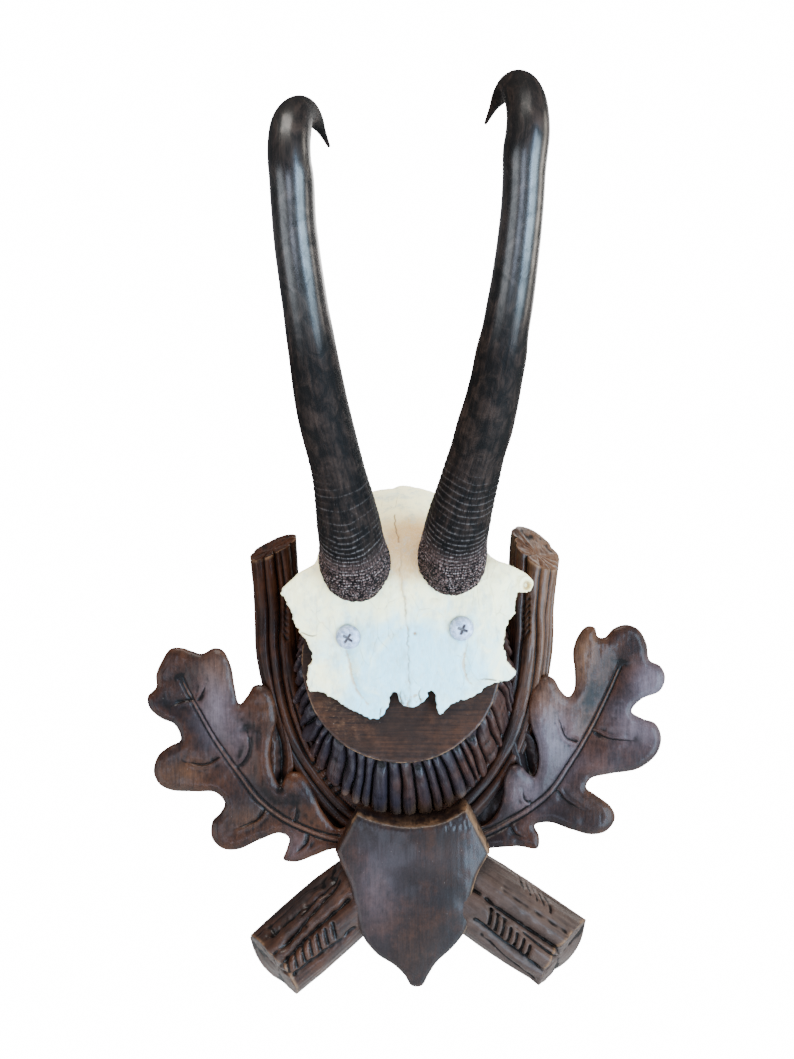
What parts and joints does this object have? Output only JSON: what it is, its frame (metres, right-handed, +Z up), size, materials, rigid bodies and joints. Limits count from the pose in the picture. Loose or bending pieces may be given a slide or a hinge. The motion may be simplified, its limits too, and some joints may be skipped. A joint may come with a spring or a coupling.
{
  "type": "chamois horn wall mount",
  "caption": "Hooked horns on their skull plate, screwed to a carved wooden wall plaque with oak leaves, crossed branches, a round boss and a small shield.",
  "frame": {"origin": "on the plaque's flat back, behind the middle of the round boss", "axes": "+Z up, -Y the front that faces the room, +X to the right as seen from the room; the flat back lies in the plane Y = 0"},
  "size_m": [0.2275, 0.137, 0.3485],
  "materials": {
    "carved_wood": "dark stained hardwood with worn satin varnish",
    "bone": "bleached dry bone, cream white",
    "horn": "dark brown-black horn, ringed and dull at the base, glossy above",
    "screw_zinc": "dull zinc-plated steel"
  },
  "bodies": {
    "root": {"carved_plaque": "carved_wood", "skull_plate": "bone", "horn_left": "horn", "horn_right": "horn", "screw_left": "screw_zinc", "screw_right": "screw_zinc"}
  },
  "joints": []
}
